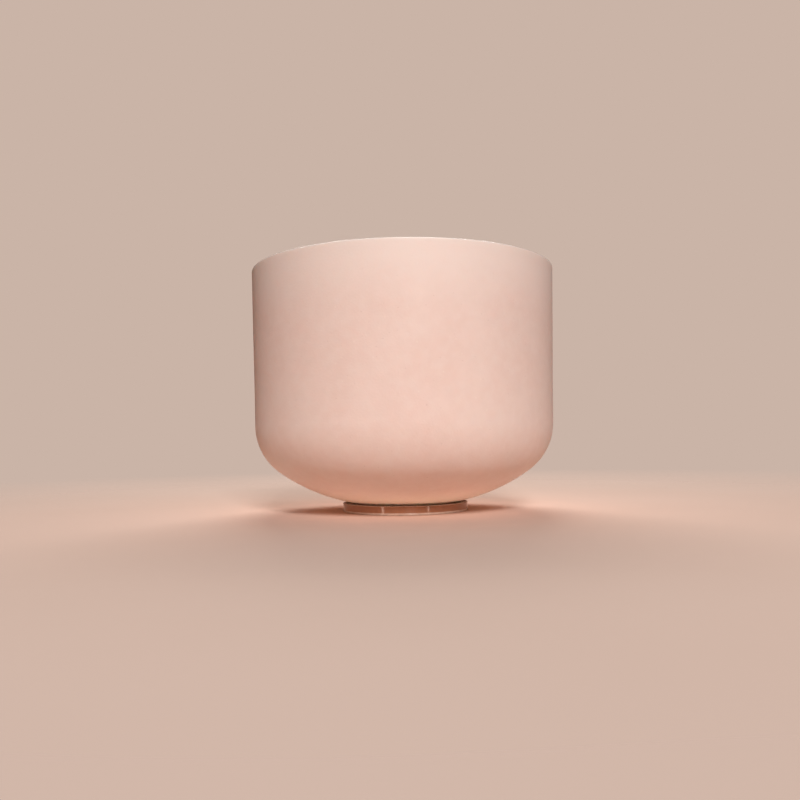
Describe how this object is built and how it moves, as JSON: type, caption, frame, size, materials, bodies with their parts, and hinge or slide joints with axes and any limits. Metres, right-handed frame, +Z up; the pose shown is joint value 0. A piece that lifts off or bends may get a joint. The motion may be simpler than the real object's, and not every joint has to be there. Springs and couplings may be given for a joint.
{
  "type": "crystal singing bowl",
  "caption": "Frosted quartz singing bowl with a nearly straight wall, a rounded shoulder and a shallow bottom, standing loose on a plain round support ring.",
  "frame": {"origin": "centre of the support ring's flat underside, on the surface that the ring stands on", "axes": "+Z up along the common axis of the bowl and the ring; X and Y are free, because both pieces are round"},
  "size_m": [0.305, 0.305, 0.241],
  "materials": {
    "frosted_quartz": "matte",
    "ring_rubber": "satin"
  },
  "bodies": {
    "ring": {"support_ring": "ring_rubber"},
    "bowl": {"bowl": "frosted_quartz"}
  },
  "joints": [
    {"name": "bowl_lift", "type": "slide", "parent": "ring", "child": "bowl", "axis": [0, 0, 1], "range_m": [0, 0.06]}
  ]
}
